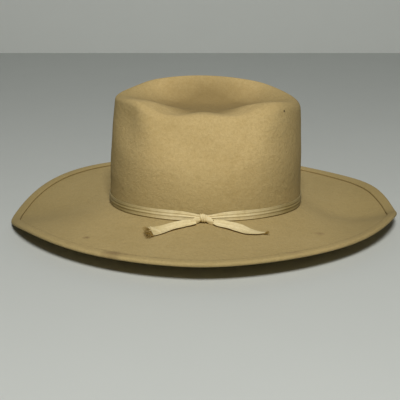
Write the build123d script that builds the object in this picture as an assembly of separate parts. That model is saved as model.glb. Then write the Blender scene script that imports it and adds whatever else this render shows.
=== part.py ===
from build123d import *
import os
from math import copysign, cos, exp, hypot, log, pi, radians, sin, sqrt

# Felt cowboy hat, millimetres. The brim rests on Z = 0, the front of the hat points to -X,
# the back to +X, and the wearer's left side, with the ribbon bow, to -Y.
# "turn" is the angle round the oval, in radians from +X towards +Y.

# ---- felt -------------------------------------------------------------------
FELT = 2.4                # thickness of the felt
BRIM_LENGTH = 415.0       # brim front to back
BRIM_WIDTH = 374.0        # brim side to side
BRIM_FULLNESS = 1.82      # 2 is an ellipse, less is more pointed
WELT_WIDTH = 9.3          # edge folded up and back over the brim
WELT_THICKNESS = 1.8

CROWN_CENTRE_X = 1.8
CROWN_LENGTH = 204.0      # outside of the crown at the brim break
CROWN_WIDTH = 171.0
BREAK_RADIUS = 0.8        # small fold where crown meets brim
BREAK_OUT = 0.008         # the same fold, as a share of the way to the brim edge
BREAK_HEIGHT = 21.3       # top of the brim at the crown, front and back
BREAK_SIDE_RISE = 3.4     # extra height at the sides

CREST_HEIGHT = 148.6      # highest part of the rim round the crown dent
CREST_END_DROP = 15.6     # how far that rim falls towards front and back
CREST_HALF_LENGTH = 93.0
LEFT_SAG = 23.5           # how far the left side of the rim is pushed down
LEFT_SAG_HALF_LENGTH = 58.0
LEFT_SAG_X = -4.0
FLOOR_HEIGHT = 121.0      # bottom of the dent in the crown
SOFT_DENT = 2.6           # how sharply the dent turns up on the left side and at the ends
STEEP_DENT = 6.0          # and on the right side
FRONT_LEAN = 8.0          # how far each wall leans in by its top
BACK_LEAN = 3.0
SIDE_LEAN = 13.0
PINCH_TURN = radians(146)
PINCH_SPREAD = radians(14)
PINCH_DEPTH = 5.0
FACET_FOOT = 58.0         # each side is pressed to a flat facet that leans in from here up
LEFT_FACET_SLOPE = 0.44
RIGHT_FACET_SLOPE = 0.36
FACET_SOFTNESS = 2.5
SHOULDER_IN = 6.0         # rounding between the side wall and the crest
SHOULDER_DROP = 9.0

BRIM_EDGE_HEIGHT = 23.2   # brim edge at the sides
SIDE_SETTLE = 3.6         # the widest part of the brim hangs this much lower
FRONT_DIP = 21.5          # how far the brim edge drops at the front
FRONT_DIP_SPREAD = radians(24)
BACK_DIP = 12.5
BACK_DIP_SPREAD = radians(14)
EDGE_WAVES = ((-132, -2.9), (-42, -3.4), (42, -3.6), (132, 1.6))   # turn in degrees, rise
EDGE_WAVE_SPREAD = radians(22)
BRIM_BELLY = 3.0          # sag between crown and edge
BACK_BELLY = 10.4         # extra sag at the back
BACK_BELLY_SPREAD = radians(38)

# ---- trimmings --------------------------------------------------------------
RIBBON_WIDTH = 10.2
RIBBON_THICKNESS = 0.65
RIBBON_GAP = 0.2
RIBBON_LIFT = 1.0         # lower edge of the band above the break
TAIL_WIDTH = 8.6
TAIL_ROOT_WIDTH = 4.8     # gathered where the tail leaves the knot
KNOT_X = -1.0
KNOT_SIZE = (8.2, 4.6, 8.6)
KNOT_STUB = 3.2           # short neck on each side, where the tails come out
KNOT_GAP = 0.3            # knot in front of the band
TACK_TURNS = (radians(8), radians(172), radians(92))

# Each tail station: turn in degrees, out along the brim, lift above it, tilt in degrees.
FRONT_TAIL = (
    (-96.3, 0.062, 3.4, 25),
    (-101.5, 0.088, 2.7, 20),
    (-104.5, 0.13, 1.6, 8),
    (-107.5, 0.18, 1.0, 0),
    (-111.0, 0.28, 1.0, 0),
    (-114.0, 0.39, 1.0, 0),
)
BACK_TAIL = (
    (-84.8, 0.062, 3.4, 25),
    (-80.8, 0.085, 2.6, 18),
    (-77.0, 0.13, 1.3, 8),
    (-74.0, 0.19, 1.0, 0),
    (-71.5, 0.26, 1.0, 0),
    (-66.0, 0.32, 1.0, 0),
    (-63.6, 0.34, 1.0, 0),
)

SWEATBAND_HEIGHT = 45.0
SWEATBAND_FOOT = 1.0      # above the break
SWEATBAND_INSET = 2.5     # felt to the back of the leather
SWEATBAND_THICKNESS = 0.9
SEAM_GAP = 0.6            # butt joint of the leather at the back
REED_RADIUS = 0.65
REED_INSET = 1.35
REED_LIFT = 0.4
TAPE_THICKNESS = 0.25
TAPE_OUTER_LEG = 8.0
TAPE_INNER_LEG = 7.0
STITCH_RADIUS = 0.3
STITCH_SINK = 0.1         # thread axis outside the face it lies on
SWEATBAND_STITCHES = 84
SWEATBAND_STITCH_LIFT = 3.6
SEAM_STITCHES = 10
SEAM_STITCH_STEP = 3.2
SEAM_STITCH_HALF_TURN = radians(1.7)
SEAM_TAPE_FOOT = 9.0
SEAM_TAPE_SIZE = (9.0, 33.0, 0.25)
BOW_LIFT = 6.2
BOW_KNOT = (2.2, 3.6, 4.6)
BOW_HALF_LENGTH = 10.0
BOW_GAP = 0.8             # bow in front of the leather
TAG_TURN = radians(24)
TAG_FOOT = 10.0
TAG_SIZE = (13.0, 15.0, 0.2)
WELT_STITCHES = 120
WELT_STITCH_HALF_TURN = radians(0.75)
WELT_STITCH_INSET = 7.4   # from the brim edge

LINING_INSET = 0.7
LINING_THICKNESS = 0.4
LINING_UP = (0.14, 0.24, 0.38, 0.52, 0.66, 0.78)
LINING_REACH = (0.32, 0.5, 0.64, 0.74, 0.82, 0.88)
PROTECTOR_REACH = (0.32, 0.5, 0.64)
PROTECTOR_THICKNESS = 0.25
PIPING_RADIUS = 0.7

STEPS = 72                # points round each oval


# ---- shape of the felt ------------------------------------------------------
def smooth(low, high, value):
    t = min(1.0, max(0.0, (value - low) / (high - low)))
    return t * t * (3.0 - 2.0 * t)


def bell(value, spread):
    return exp(-((value / spread) ** 2))


def turn_from(turn, centre):
    """Signed angle from centre to turn, within half a circle."""
    return (turn - centre + pi) % (2.0 * pi) - pi


def break_height(turn):
    return BREAK_HEIGHT + BREAK_SIDE_RISE * sin(turn) ** 2 - 0.7 * cos(turn)


def crest_height(turn):
    height = CREST_HEIGHT - CREST_END_DROP * (cos(turn) + 0.07) ** 2
    if sin(turn) < 0.0:
        along = CREST_HALF_LENGTH * cos(turn) - LEFT_SAG_X
        pushed_down = exp(-((along / LEFT_SAG_HALF_LENGTH) ** 4))
        height -= LEFT_SAG * pushed_down * smooth(0.0, 0.6, -sin(turn))
    return height


def pinch(turn, height):
    """Hollows on both sides of the front of the crown."""
    across = bell(abs(turn_from(turn, 0.0)) - PINCH_TURN, PINCH_SPREAD)
    fade = 1.0 - 0.55 * smooth(118.0, 138.0, height)
    return PINCH_DEPTH * across * smooth(78.0, 116.0, height) * fade


def pressed(across, height, slope):
    """Distance from the middle, limited softly by the flat facet of that side."""
    limit = CROWN_WIDTH / 2.0 - slope * (height - FACET_FOOT)
    excess = (across - limit) / FACET_SOFTNESS
    return across - FACET_SOFTNESS * log(1.0 + exp(excess))


def crown_wall(turn, height):
    """Point on the outside of the crown wall."""
    c, s = cos(turn), sin(turn)
    crest, foot = crest_height(turn), break_height(turn)
    up = min(1.0, max(0.0, (height - foot) / (crest - foot)))
    lean_x = FRONT_LEAN * up ** 2 if c < 0.0 else BACK_LEAN * up ** 3
    lean_y = SIDE_LEAN * up ** 1.6
    end_drop, end_in = (3.0, 2.0) if c < 0.0 else (9.0, 6.0)
    shoulder_drop = SHOULDER_DROP * s * s + end_drop * c * c
    shoulder_in = SHOULDER_IN * s * s + end_in * c * c
    near_top = min(1.0, max(0.0, 1.0 - (crest - height) / shoulder_drop))
    inward = shoulder_in * (1.0 - sqrt(1.0 - near_top ** 2)) + pinch(turn, height)
    half_x = CROWN_LENGTH / 2.0 - lean_x
    half_y = CROWN_WIDTH / 2.0 - lean_y
    nx, ny = c / half_x, s / half_y
    size = hypot(nx, ny)
    slope = LEFT_FACET_SLOPE if s < 0.0 else RIGHT_FACET_SLOPE
    x = CROWN_CENTRE_X + half_x * c - inward * nx / size
    y = copysign(pressed(half_y * abs(s), height, slope), s) - inward * ny / size
    return Vector(x, y, height)


def crown_top(turn, reach):
    """Point on the top of the crown: reach 0 is the middle, 1 is the crest of the dent."""
    crest = crest_height(turn)
    rim = crown_wall(turn, crest)
    n = SOFT_DENT + (STEEP_DENT - SOFT_DENT) * smooth(-0.2, 0.7, sin(turn))
    rise = reach ** n * (n + 1.0 - n * reach)
    x = CROWN_CENTRE_X + (rim.X - CROWN_CENTRE_X) * reach
    return Vector(x, rim.Y * reach, FLOOR_HEIGHT + (crest - FLOOR_HEIGHT) * rise)


def brim_edge(turn):
    """Outermost line of the brim, on top of its lower layer."""
    c, s = cos(turn), sin(turn)
    power = 2.0 / BRIM_FULLNESS
    x = BRIM_LENGTH / 2.0 * abs(c) ** power * (1 if c > 0 else -1)
    y = BRIM_WIDTH / 2.0 * abs(s) ** power * (1 if s > 0 else -1)
    height = BRIM_EDGE_HEIGHT - SIDE_SETTLE * s ** 4
    height -= FRONT_DIP * bell(turn_from(turn, pi), FRONT_DIP_SPREAD)
    height -= BACK_DIP * bell(turn_from(turn, 0.0), BACK_DIP_SPREAD)
    for wave_turn, rise in EDGE_WAVES:
        height += rise * bell(turn_from(turn, radians(wave_turn)), EDGE_WAVE_SPREAD)
    return Vector(x, y, height)


def brim_top(turn, out):
    """Point on the top of the brim: out 0 is the crown, 1 is the edge."""
    inner = crown_wall(turn, break_height(turn))
    outer = brim_edge(turn)
    belly = BRIM_BELLY + BACK_BELLY * bell(turn_from(turn, 0.0), BACK_BELLY_SPREAD)
    point = inner + (outer - inner) * out
    return point - Vector(0, 0, belly * 4.0 * out * (1.0 - out))


def brim_out(turn, distance):
    """The value of out that lies a distance in from the brim edge."""
    inner = crown_wall(turn, break_height(turn))
    outer = brim_edge(turn)
    return 1.0 - distance / hypot(outer.X - inner.X, outer.Y - inner.Y)


def offset(surface, turn, along, distance, step=0.004):
    """Move off a surface by distance; positive is away from the head."""
    round_it = surface(turn + 0.01, along) - surface(turn - 0.01, along)
    scale = 100.0 if surface is crown_wall else 1.0
    across = surface(turn, along + step * scale) - surface(turn, along - step * scale)
    normal = round_it.cross(across).normalized()
    here = surface(turn, along)
    outward = Vector(cos(turn), sin(turn), 0) if surface is crown_wall else Vector(0, 0, 1)
    if normal.dot(outward) < 0.0:
        normal = -normal
    return here + normal * distance


# ---- solids from rings ------------------------------------------------------
def ring(point_at):
    points = [point_at(2.0 * pi * i / STEPS) for i in range(STEPS)]
    return Edge.make_spline(points, periodic=True)


def closed_tube(point_functions):
    """Solid ring whose cross-section joins the given rings in order."""
    edges = [ring(function) for function in point_functions]
    pairs = zip(edges, edges[1:] + edges[:1])
    faces = [Face.make_surface_from_curves(first, second) for first, second in pairs]
    return Solid(Shell(faces))


def round_tube(centre_at, radius, sides=8):
    """Solid ring of round section, with its centre line from centre_at(turn, out, up)."""
    angles = [2.0 * pi * i / sides for i in range(sides)]
    return closed_tube(
        [lambda t, a=a: centre_at(t, radius * cos(a), radius * sin(a)) for a in angles]
    )


def bar(start, finish, radius):
    """Short thread from start to finish."""
    along = finish - start
    plane = Plane(origin=start, z_dir=along)
    return Solid.make_cylinder(radius, along.length, plane)


def save(name, shape):
    shape.label = name
    export_step(shape, f"parts/{name}.step")


# ---- felt body --------------------------------------------------------------
def flat_middle(turn, height):
    """Small level oval that closes the top of the crown."""
    middle = crown_top(turn, 0.08)
    return Vector(middle.X, middle.Y, height)


def edge_round(turn, angle):
    """Rounded outer edge of the folded brim; angle runs from +90 on top to -90 below."""
    half = (FELT + WELT_THICKNESS) / 2.0
    centre = brim_top(turn, brim_out(turn, half)) + Vector(0, 0, WELT_THICKNESS - half)
    rim = brim_edge(turn)
    out = Vector(rim.X, rim.Y, 0) - Vector(centre.X, centre.Y, 0)
    out = out.normalized()
    return centre + out * half * cos(angle) + Vector(0, 0, half * sin(angle))


def welt_top(turn, distance):
    point = brim_top(turn, brim_out(turn, distance))
    return point + Vector(0, 0, WELT_THICKNESS)


def wall_height(turn, up):
    foot = break_height(turn)
    return foot + (crest_height(turn) - foot) * up


def felt_body():
    """Crown, brim and folded brim edge: one piece of felt, as one skin out and back."""
    top_reach = (0.35, 0.55, 0.68, 0.78, 0.86, 0.93, 0.97, 1.0)
    wall_up = (0.985, 0.96, 0.92, 0.87, 0.78, 0.66, 0.52, 0.38, 0.24, 0.10)
    brim_reach = (0.12, 0.28, 0.44, 0.6, 0.76)
    skin = [lambda t: flat_middle(t, FLOOR_HEIGHT)]
    skin += [lambda t, r=r: crown_top(t, r) for r in top_reach]
    skin += [lambda t, u=u: crown_wall(t, wall_height(t, u)) for u in wall_up]
    skin.append(lambda t: crown_wall(t, break_height(t) + BREAK_RADIUS))
    skin.append(lambda t: brim_top(t, BREAK_OUT))
    skin += [lambda t, r=r: brim_top(t, r) for r in brim_reach]
    skin.append(lambda t: brim_top(t, brim_out(t, WELT_WIDTH + 0.1)))
    skin.append(lambda t: welt_top(t, WELT_WIDTH))
    skin.append(lambda t: welt_top(t, WELT_WIDTH / 2.0))
    angles = [radians(a) for a in (90, 45, 0, -45, -90)]
    skin += [lambda t, a=a: edge_round(t, a) for a in angles]
    back_reach = (0.92, 0.84) + brim_reach[::-1] + (0.035,)
    skin += [lambda t, r=r: offset(brim_top, t, r, -FELT) for r in back_reach]
    skin.append(lambda t: offset(crown_wall, t, break_height(t) + 2.0, -FELT))
    inner_up = wall_up[::-1][:-3]
    skin += [lambda t, u=u: offset(crown_wall, t, wall_height(t, u), -FELT) for u in inner_up]
    inner_reach = (0.9, 0.82, 0.74, 0.64, 0.5, 0.32)
    skin += [lambda t, r=r: offset(crown_top, t, r, -FELT) for r in inner_reach]
    skin.append(lambda t: flat_middle(t, FLOOR_HEIGHT - FELT))
    wires = [Wire([ring(function)]) for function in skin]
    body = Solid.make_loft(wires, ruled=True)
    corner = Plane(origin=(-BRIM_LENGTH, -BRIM_WIDTH, -20.0))
    below_rest = Solid.make_box(2.0 * BRIM_LENGTH, 2.0 * BRIM_WIDTH, 20.0, corner)
    return body - below_rest


def welt_stitching():
    """Short stitches under the brim edge that hold the folded felt down."""
    stitches = []
    for i in range(WELT_STITCHES):
        turn = 2.0 * pi * i / WELT_STITCHES
        ends = []
        for end in (turn - WELT_STITCH_HALF_TURN, turn + WELT_STITCH_HALF_TURN):
            out = brim_out(end, WELT_STITCH_INSET)
            ends.append(offset(brim_top, end, out, -FELT + STITCH_SINK))
        if min(end.Z for end in ends) > 2.0 * STITCH_RADIUS:
            stitches.append(bar(*ends, STITCH_RADIUS))
    return Compound(stitches)


# ---- ribbon -----------------------------------------------------------------
def band_point(turn, lift, out):
    """Point above the break by lift, and out from the felt of the crown wall."""
    return offset(crown_wall, turn, break_height(turn) + lift, out)


def ribbon_band():
    low, high = RIBBON_LIFT, RIBBON_LIFT + RIBBON_WIDTH
    near, far = RIBBON_GAP, RIBBON_GAP + RIBBON_THICKNESS
    corners = ((low, near), (low, far), (high, far), (high, near))
    return closed_tube([lambda t, c=c: band_point(t, *c) for c in corners])


def ribbon_knot():
    """Flat knot with a short neck on each side."""
    width, depth, height = KNOT_SIZE
    face = band_point(-pi / 2.0, RIBBON_LIFT + RIBBON_WIDTH / 2.0, RIBBON_GAP + RIBBON_THICKNESS)
    centre_y = face.Y - KNOT_GAP - depth / 2.0
    centre = Vector(KNOT_X, centre_y, face.Z - 0.6)
    lump = Box(width, depth, height)
    lump = fillet(lump.edges(), 0.45 * depth)
    neck = Box(width + 2.0 * KNOT_STUB, 0.45 * depth, 0.42 * height)
    neck = fillet(neck.edges(), 0.15 * depth)
    knot = lump + Pos(0, 0, -0.22 * height) * neck
    return Pos(centre) * knot


def tail_section(turn, out, lift, tilt, width, along):
    """Cross-section of a tail; tilt turns its crown-side edge up."""
    centre = brim_top(turn, out) + Vector(0, 0, lift)
    side = Vector(0, 0, 1).cross(along).normalized()
    if side.Y < 0.0:
        side = -side
    wide = side * cos(tilt) + Vector(0, 0, 1) * sin(tilt)
    thick = wide.cross(along).normalized()
    half, thin = width / 2.0, RIBBON_THICKNESS / 2.0
    corners = ((-1, -1), (1, -1), (1, 1), (-1, 1))
    points = [centre + wide * half * a + thick * thin * b for a, b in corners]
    return Wire.make_polygon(points, close=True)


def ribbon_tail(stations):
    """One tail, from the knot outwards. Each station is (turn, out, lift, tilt)."""
    centres = [brim_top(radians(turn), out) for turn, out, lift, tilt in stations]
    sections = []
    for i, (turn, out, lift, tilt) in enumerate(stations):
        ahead = centres[min(i + 1, len(centres) - 1)] - centres[max(i - 1, 0)]
        along = Vector(ahead.X, ahead.Y, 0).normalized()
        width = TAIL_ROOT_WIDTH if i == 0 else TAIL_WIDTH
        sections.append(tail_section(radians(turn), out, lift, radians(tilt), width, along))
    return Solid.make_loft(sections, ruled=True)


def ribbon_tacks():
    """Small thread tacks through the upper part of the band."""
    tacks = []
    for turn in TACK_TURNS:
        lift = RIBBON_LIFT + RIBBON_WIDTH - 2.0
        out = RIBBON_GAP + RIBBON_THICKNESS + STITCH_SINK
        tacks.append(bar(band_point(turn, lift, out), band_point(turn, lift + 1.4, out), STITCH_RADIUS))
    return Compound(tacks)


# ---- sweatband --------------------------------------------------------------
def inside(turn, lift, inset):
    """Point above the break by lift, and in from the inner face of the felt."""
    return offset(crown_wall, turn, break_height(turn) + lift, -FELT - inset)


def tube_inside(corners):
    """Ring inside the crown; each corner of its section is (lift, inset)."""
    return closed_tube([lambda t, c=c: inside(t, *c) for c in corners])


def sweatband():
    near, far = SWEATBAND_INSET, SWEATBAND_INSET + SWEATBAND_THICKNESS
    low, high = SWEATBAND_FOOT, SWEATBAND_FOOT + SWEATBAND_HEIGHT
    middle = (low + high) / 2.0
    ring_solid = tube_inside(
        ((low, near), (low, far), (middle, far), (high, far), (high, near), (middle, near))
    )
    seam = Pos(CROWN_LENGTH / 2.0, 0, high) * Box(40.0, SEAM_GAP, 3.0 * high)
    return ring_solid - seam


def sweatband_reed():
    def centre(turn, out, up):
        return inside(turn, REED_LIFT + up, REED_INSET - out)

    return round_tube(centre, REED_RADIUS)


def reed_tape():
    """Woven tape folded round the reed, one leg on the felt and one on the leather."""
    outer, inner = 0.25, SWEATBAND_INSET - 0.1
    foot = REED_LIFT - REED_RADIUS - 0.1
    thick = TAPE_THICKNESS
    return tube_inside(
        (
            (TAPE_OUTER_LEG, outer),
            (foot - thick, outer),
            (foot - thick, inner),
            (TAPE_INNER_LEG, inner),
            (TAPE_INNER_LEG, inner - thick),
            (foot, inner - thick),
            (foot, outer + thick),
            (TAPE_OUTER_LEG, outer + thick),
        )
    )


def sweatband_stitching():
    """Row of stitches through leather, tape and felt, near the foot of the leather."""
    stitches = []
    face = SWEATBAND_INSET + SWEATBAND_THICKNESS + STITCH_SINK
    for i in range(SWEATBAND_STITCHES):
        turn = 2.0 * pi * (i + 0.5) / SWEATBAND_STITCHES
        lift = SWEATBAND_STITCH_LIFT
        half_turn = pi / SWEATBAND_STITCHES * 0.6
        start = inside(turn - half_turn, lift, face)
        finish = inside(turn + half_turn, lift + 1.2, face)
        stitches.append(bar(start, finish, STITCH_RADIUS))
    return Compound(stitches)


def seam_stitches():
    """Zigzag across the butt joint at the back of the leather."""
    stitches = []
    face = SWEATBAND_INSET + SWEATBAND_THICKNESS + STITCH_SINK
    for i in range(SEAM_STITCHES):
        lift = SEAM_TAPE_FOOT + SEAM_STITCH_STEP * (i + 0.5)
        lean = SEAM_STITCH_STEP * 0.4 * (-1) ** i
        start = inside(-SEAM_STITCH_HALF_TURN, lift - lean, face)
        finish = inside(SEAM_STITCH_HALF_TURN, lift + lean, face)
        stitches.append(bar(start, finish, STITCH_RADIUS))
    return Compound(stitches)


def patch_behind_leather(turn, foot, size, inset):
    """Flat patch that stands between felt and leather."""
    width, height, thickness = size
    middle = inside(turn, foot + height / 2.0, inset)
    outward = inside(turn, foot + height / 2.0, 0.0) - middle
    plane = Plane(origin=middle, x_dir=(-sin(turn), cos(turn), 0), z_dir=outward)
    return plane * Box(width, height, thickness)


def bow_section(y, depth, height):
    """Upright rectangle across one wing of the bow."""
    d, h = depth / 2.0, height / 2.0
    return Wire.make_polygon([(-d, y, -h), (d, y, -h), (d, y, h), (-d, y, h)])


def sweatband_bow():
    """Small ribbon bow sewn over the seam."""
    inset = SWEATBAND_INSET + SWEATBAND_THICKNESS + BOW_GAP + BOW_KNOT[0] / 2.0
    bow = Box(*BOW_KNOT)
    for side in (-1, 1):
        root = bow_section(side, 0.45 * BOW_KNOT[0], 0.5 * BOW_KNOT[2])
        end = bow_section(side * BOW_HALF_LENGTH, 0.7 * BOW_KNOT[0], 1.5 * BOW_KNOT[2])
        bow = bow + Solid.make_loft([root, end])
    return Pos(inside(0.0, BOW_LIFT, inset)) * bow


# ---- lining -----------------------------------------------------------------
def lining_side():
    near, far = LINING_INSET, LINING_INSET + LINING_THICKNESS
    rings = [lambda t, u=u: offset(crown_wall, t, wall_height(t, u), -FELT - near) for u in LINING_UP]
    rings += [
        lambda t, u=u: offset(crown_wall, t, wall_height(t, u), -FELT - far)
        for u in LINING_UP[::-1]
    ]
    return closed_tube(rings)


def sheet_under_top(reaches, inset, thickness):
    """Thin sheet that follows the underside of the crown top."""
    above, below = -FELT - inset, -FELT - inset - thickness
    rings = [lambda t: flat_middle(t, FLOOR_HEIGHT + above)]
    rings += [lambda t, r=r: offset(crown_top, t, r, above) for r in reaches]
    rings += [lambda t, r=r: offset(crown_top, t, r, below) for r in reaches[::-1]]
    rings.append(lambda t: flat_middle(t, FLOOR_HEIGHT + below))
    return Solid.make_loft([Wire([ring(function)]) for function in rings], ruled=True)


def lining_piping():
    """Cord in the seam between the wall and the tip of the lining."""
    inset = -FELT - LINING_INSET - LINING_THICKNESS - PIPING_RADIUS - 0.3

    def centre(turn, out, up):
        wall = offset(crown_wall, turn, wall_height(turn, LINING_UP[-1]), inset)
        outward = Vector(cos(turn), sin(turn), 0)
        return wall + outward * out + Vector(0, 0, up)

    return round_tube(centre, PIPING_RADIUS)


os.makedirs("parts", exist_ok=True)
save("felt_body", felt_body())
save("welt_stitching", welt_stitching())
save("ribbon_band", ribbon_band())
save("ribbon_knot", ribbon_knot())
save("ribbon_tail_front", ribbon_tail(FRONT_TAIL))
save("ribbon_tail_back", ribbon_tail(BACK_TAIL))
save("ribbon_tacks", ribbon_tacks())
save("sweatband", sweatband())
save("sweatband_reed", sweatband_reed())
save("reed_tape", reed_tape())
save("sweatband_stitching", sweatband_stitching())
save("sweatband_seam_stitches", seam_stitches())
save("sweatband_seam_tape", patch_behind_leather(0.0, SEAM_TAPE_FOOT, SEAM_TAPE_SIZE, 2.1))
save("sweatband_bow", sweatband_bow())
save("size_tag", patch_behind_leather(TAG_TURN, TAG_FOOT, TAG_SIZE, 1.8))
save("lining_side", lining_side())
save("lining_tip", sheet_under_top(LINING_REACH, LINING_INSET, LINING_THICKNESS))
save("lining_piping", lining_piping())
save("tip_protector", sheet_under_top(PROTECTOR_REACH, 1.5, PROTECTOR_THICKNESS))
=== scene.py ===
from math import cos, pi, radians, sin, tau

import bmesh
import bpy
import numpy as np
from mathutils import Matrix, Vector


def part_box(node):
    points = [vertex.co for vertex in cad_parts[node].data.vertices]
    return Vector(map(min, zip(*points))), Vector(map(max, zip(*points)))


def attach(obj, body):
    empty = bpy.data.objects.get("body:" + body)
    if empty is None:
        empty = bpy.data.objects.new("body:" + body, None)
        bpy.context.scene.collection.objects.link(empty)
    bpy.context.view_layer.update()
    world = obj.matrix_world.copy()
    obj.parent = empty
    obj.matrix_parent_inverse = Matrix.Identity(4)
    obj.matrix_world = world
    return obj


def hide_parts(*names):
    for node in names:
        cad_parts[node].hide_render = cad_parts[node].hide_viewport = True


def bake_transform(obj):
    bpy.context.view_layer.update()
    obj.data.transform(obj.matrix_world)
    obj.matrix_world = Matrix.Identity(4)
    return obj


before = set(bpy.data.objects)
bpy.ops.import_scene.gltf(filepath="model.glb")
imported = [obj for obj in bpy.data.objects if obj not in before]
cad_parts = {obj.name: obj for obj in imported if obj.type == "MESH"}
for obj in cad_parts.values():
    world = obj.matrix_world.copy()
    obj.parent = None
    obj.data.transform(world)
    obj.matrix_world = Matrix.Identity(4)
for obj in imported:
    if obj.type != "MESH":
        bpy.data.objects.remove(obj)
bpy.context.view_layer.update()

# Felt cowboy hat in metres: rest plane Z = 0, front of the hat to -X, bow side to -Y.
# "turn" is the angle round the oval, from +X towards +Y.
MM = 0.001


def box_size(node):
    low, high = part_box(node)
    return [high[i] - low[i] for i in range(3)]


def box_middle(node):
    low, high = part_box(node)
    return Vector([(high[i] + low[i]) / 2.0 for i in range(3)])


# ---- sizes ----
HAT = box_size("felt_body")
BAND = box_size("ribbon_band")
FELT = 2.4 * MM
BRIM_FULLNESS = 1.82
BRIM_EDGE_HEIGHT = 23.2 * MM
SIDE_SETTLE = 3.6 * MM
FRONT_DIP = 21.5 * MM
BACK_DIP = 12.5 * MM
EDGE_WAVES = ((-132, -2.9), (-42, -3.4), (42, -3.6), (132, 1.6))    # turn in degrees, rise in mm
WELT_WIDTH = 9.3 * MM
WELT_THICKNESS = 1.8 * MM
WELT_CREVICE = 0.35 * MM
BAND_OUT = 0.85 * MM           # outer face of the plain CAD band from the felt
CROWN_CENTRE_X = box_middle("ribbon_band").x
CROWN_HALF_X = BAND[0] / 2.0 - BAND_OUT
CROWN_HALF_Y = BAND[1] / 2.0 - BAND_OUT
BREAK_HEIGHT = 21.3 * MM
BREAK_SIDE_RISE = 3.4 * MM
CREST_HEIGHT = HAT[2]
CREST_END_DROP = 15.6 * MM
LEFT_SAG = 23.5 * MM
FLOOR_HEIGHT = CREST_HEIGHT - 27.6 * MM
SOFT_DENT = 2.6                # how sharply the dent turns up: bow side and ends
STEEP_DENT = 6.0               # the other side
PINCH_TURN = radians(146)
FACET_FOOT = 58.0 * MM          # each side is pressed to a flat facet from here up
FACET_SLOPES = (0.44, 0.36)     # bow side, other side
FACET_SOFTNESS = 2.5 * MM
SHOULDER_IN = 6.0 * MM
SHOULDER_DROP = 9.0 * MM
TURNS = 360                    # points round each oval of the felt


# ---- shape of the felt ----
def smooth(low, high, value):
    t = np.clip((value - low) / (high - low), 0.0, 1.0)
    return t * t * (3.0 - 2.0 * t)


def bell(value, spread):
    return np.exp(-((value / spread) ** 2))


def turn_from(turn, centre):
    return (turn - centre + pi) % tau - pi


def hump(turn, centre, spread):
    """Bell round the oval, its centre and spread in degrees."""
    return bell(turn_from(turn, radians(centre)), radians(spread))


def shares(count):
    return np.linspace(0.0, 1.0, count)


def whole_round(count):
    return np.linspace(0.0, tau, count, endpoint=False)


def unit(v):
    return v / np.linalg.norm(v, axis=-1, keepdims=True)


def level_unit(v):
    return unit(v * (1.0, 1.0, 0.0))


def ripple(seed, *coordinates):
    """Soft seeded unevenness between about -1 and 1, for hand-worked surfaces."""
    draw = np.random.default_rng(seed)
    total = 0.0
    for _ in range(7):
        phase = draw.uniform(0.0, tau)
        wave = sum(c * draw.integers(-4, 5) for c in coordinates)
        total = total + np.sin(wave + phase)
    return total / 4.0


def points(x, y, z):
    return np.stack(np.broadcast_arrays(x, y, z), axis=-1)


def break_height(turn):
    return BREAK_HEIGHT + BREAK_SIDE_RISE * np.sin(turn) ** 2 - 0.7 * MM * np.cos(turn)


def crest_height(turn):
    """Height of the rim round the dent; the bow side is pushed down and slightly lobed."""
    c, s = np.cos(turn), np.sin(turn)
    along = 93.0 * c + 4.0
    near = smooth(0.0, 0.6, -s)
    height = CREST_HEIGHT - CREST_END_DROP * (c + 0.07) ** 2
    height = height - LEFT_SAG * np.exp(-((along / 58.0) ** 4)) * near
    return height + 0.8 * MM * np.cos(along / 11.0) * bell(along, 50.0) * near


def pinch(turn, height):
    across = bell(np.abs(turn_from(turn, 0.0)) - PINCH_TURN, radians(14))
    fade = 1.0 - 0.55 * smooth(118.0 * MM, 138.0 * MM, height)
    return 5.0 * MM * across * smooth(78.0 * MM, 116.0 * MM, height) * fade


def pressed(across, height, slope):
    """Distance from the middle, limited softly by the flat facet of that side."""
    limit = CROWN_HALF_Y - slope * (height - FACET_FOOT)
    return across - FACET_SOFTNESS * np.log1p(np.exp((across - limit) / FACET_SOFTNESS))


def soft_fold(turn, height):
    """Faint upright fold in the bow side of the wall."""
    line = radians(-70) + (height - 100.0 * MM) * 2.0
    across = turn_from(turn, line)
    groove = bell(across, radians(2.6)) - 0.6 * bell(across - radians(5.5), radians(3.5))
    reach = smooth(60.0 * MM, 85.0 * MM, height) * (1.0 - smooth(118.0 * MM, 130.0 * MM, height))
    return 1.0 * MM * groove * reach


def shoulder_drop(turn):
    c, s = np.cos(turn), np.sin(turn)
    return SHOULDER_DROP * s * s + np.where(c < 0.0, 3.0, 9.0) * MM * c * c


def crown_wall(turn, height):
    """Point on the outside of the crown wall."""
    c, s = np.cos(turn), np.sin(turn)
    front = c < 0.0
    crest, foot = crest_height(turn), break_height(turn)
    up = np.clip((height - foot) / (crest - foot), 0.0, 1.0)
    lean_x = np.where(front, 8.0 * MM * up ** 2, 3.0 * MM * up ** 3)
    lean_y = 13.0 * MM * up ** 1.6
    shoulder_in = SHOULDER_IN * s * s + np.where(front, 2.0, 6.0) * MM * c * c
    near_top = np.clip(1.0 - (crest - height) / shoulder_drop(turn), 0.0, 1.0)
    inward = shoulder_in * (1.0 - np.sqrt(np.clip(1.0 - near_top ** 2, 0.0, 1.0)))
    inward = inward + pinch(turn, height) + soft_fold(turn, height)
    uneven = ripple(3, turn * 2.0, height * 55.0) * smooth(30.0 * MM, 60.0 * MM, height)
    inward = inward + 0.35 * MM * uneven
    half_x = CROWN_HALF_X - lean_x
    half_y = CROWN_HALF_Y - lean_y
    nx, ny = c / half_x, s / half_y
    size = np.hypot(nx, ny)
    slope = np.where(s < 0.0, *FACET_SLOPES)
    x = CROWN_CENTRE_X + half_x * c - inward * nx / size
    y = np.sign(s) * pressed(half_y * np.abs(s), height, slope) - inward * ny / size
    return points(x, y, height)


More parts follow.
